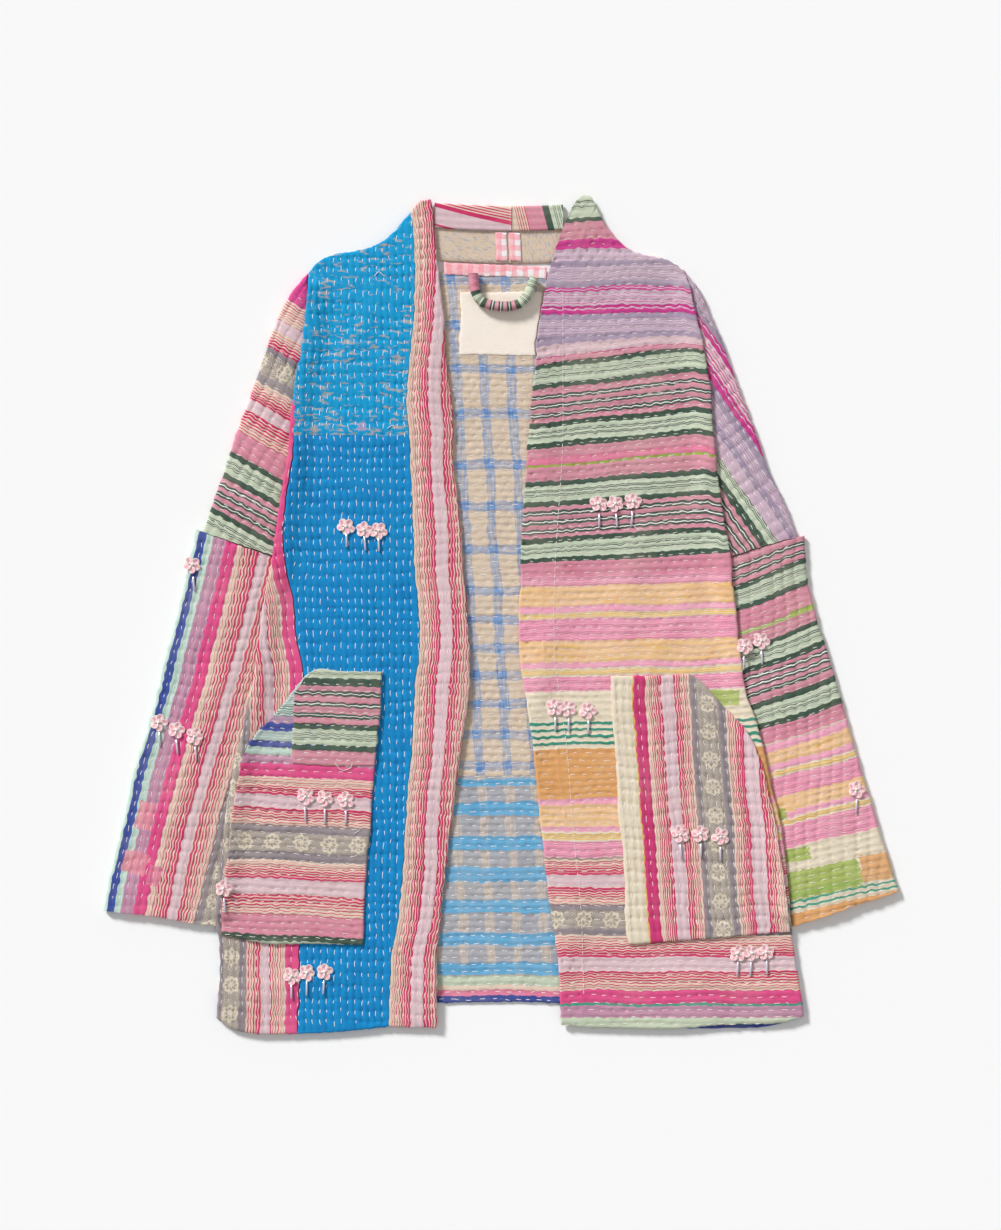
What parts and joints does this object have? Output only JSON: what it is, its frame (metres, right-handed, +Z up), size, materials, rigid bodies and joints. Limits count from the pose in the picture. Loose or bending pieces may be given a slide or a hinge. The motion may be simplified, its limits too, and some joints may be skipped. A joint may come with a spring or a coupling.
{
  "type": "quilted patchwork jacket with sequin flowers",
  "caption": "Open-front quilted patchwork cotton jacket laid flat, with striped cloth, patch pockets, a blue front and small sequin flowers.",
  "frame": {"origin": "centre of the jacket's bounding box, on the surface that it lies on", "axes": "+Z up from the surface to the open front, +Y from the hem to the neck, +X to the picture's right, the wearer's left"},
  "size_m": [0.733, 0.774, 0.0127],
  "materials": {
    "inside_check": "matt cotton, checked",
    "blue_quilt": "matt worn cotton, quilted by hand",
    "striped_quilt": "matt cotton, striped and quilted by hand",
    "band_cloth": "matt cotton, striped",
    "pocket_cloth": "matt cotton, striped and quilted by hand",
    "sleeve_cloth": "matt cotton, striped and quilted by hand",
    "collar_cloth": "matt cotton",
    "gingham": "matt cotton check",
    "label_cloth": "satin weave, bare"
  },
  "bodies": {
    "root": {"back": "inside_check", "front_left": "blue_quilt", "front_right": "striped_quilt", "band_left": "band_cloth", "band_right": "striped_quilt", "pocket_left": "pocket_cloth", "pocket_right": "pocket_cloth", "sleeve_left_upper": "sleeve_cloth", "sleeve_left_lower": "sleeve_cloth", "sleeve_right_upper": "sleeve_cloth", "sleeve_right_lower": "sleeve_cloth", "collar_left": "collar_cloth", "collar_right": "collar_cloth", "neck_tape": "gingham", "collar_tape_left": "gingham", "collar_tape_right": "gingham", "hang_loop": "striped_quilt", "label": "label_cloth"}
  },
  "joints": []
}
